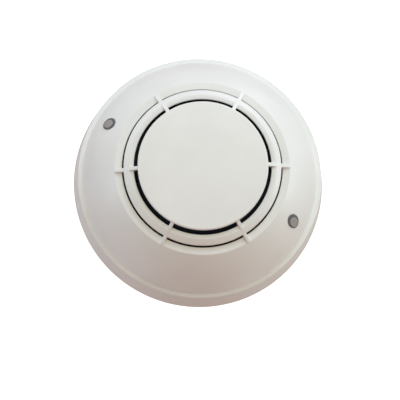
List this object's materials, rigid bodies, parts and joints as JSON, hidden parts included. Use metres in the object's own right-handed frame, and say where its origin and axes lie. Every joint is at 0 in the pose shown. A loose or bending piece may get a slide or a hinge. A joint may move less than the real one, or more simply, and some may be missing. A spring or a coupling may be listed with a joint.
{
  "type": "heat detector",
  "caption": "Round ceiling-mounted heat detector: a plug-in sensing head with ribbed ring-shaped air inlets, twist-locked onto a screw-terminal base.",
  "frame": {"origin": "centre of the base's flat back face, which lies against the wall or ceiling", "axes": "+Z points out of the mounting surface along the twist axis, the cover's ribs lie at 0, 60, 120 degrees and so on from +X, and the indicator lenses at 150 and 330 degrees"},
  "size_m": [0.102, 0.102, 0.0426],
  "materials": {
    "base_white": "satin moulded ABS",
    "cover_white": "fine satin moulded ABS",
    "housing_white": "satin moulded ABS",
    "brass": "bright plated brass",
    "spring_steel": "bright spring strip",
    "zinc_steel": "zinc plated",
    "black_mesh": "black coated woven mesh",
    "black_plastic": "fine matt",
    "bead_black": "glossy epoxy bead",
    "smoked_lens": "smoked translucent plastic",
    "led_white": "moulded package",
    "board_green": "solder resist over glass fibre",
    "capacitor_can": "sleeved can",
    "chip_brown": "fired ceramic",
    "reed_glass": "green tinted glass",
    "switch_blue": "moulded",
    "dial_ivory": "moulded",
    "label_silver": "satin film, blank"
  },
  "bodies": {
    "base": {"base_shell": "base_white", "terminal_plate_1": "brass", "terminal_plate_2": "brass", "terminal_plate_3": "brass", "terminal_plate_4": "brass", "contact_spring_1": "spring_steel", "contact_spring_2": "spring_steel", "contact_spring_3": "spring_steel", "contact_spring_4": "spring_steel", "clamp_washers": "zinc_steel", "terminal_screws": "zinc_steel"},
    "head": {"front_cover": "cover_white", "insect_screen": "black_mesh", "air_guide": "black_plastic", "thermistor_left": "bead_black", "thermistor_right": "bead_black", "lens_left": "smoked_lens", "lens_right": "smoked_lens", "status_led_left": "led_white", "status_led_right": "led_white", "circuit_board": "board_green", "microcontroller": "black_plastic", "capacitors": "capacitor_can", "chip_components": "chip_brown", "reed_switch": "reed_glass", "tens_switch_body": "switch_blue", "ones_switch_body": "switch_blue", "rear_housing": "housing_white", "contact_blade_1": "brass", "contact_blade_2": "brass", "contact_blade_3": "brass", "contact_blade_4": "brass", "board_screws": "zinc_steel", "cover_screws": "zinc_steel", "blank_label": "label_silver"},
    "tens_dial": {"tens_rotor": "dial_ivory"},
    "ones_dial": {"ones_rotor": "dial_ivory"}
  },
  "joints": [
    {"name": "head_twist", "type": "hinge", "parent": "base", "child": "head", "pos_m": [0, 0, 0.0085], "axis": [0, 0, 1], "range_deg": [0, 18]},
    {"name": "tens_dial_turn", "type": "hinge", "parent": "head", "child": "tens_dial", "pos_m": [-0.0085, -0.018, 0.0092], "axis": [0, 0, 1], "continuous": true},
    {"name": "ones_dial_turn", "type": "hinge", "parent": "head", "child": "ones_dial", "pos_m": [0.0085, -0.018, 0.0092], "axis": [0, 0, 1], "continuous": true}
  ]
}
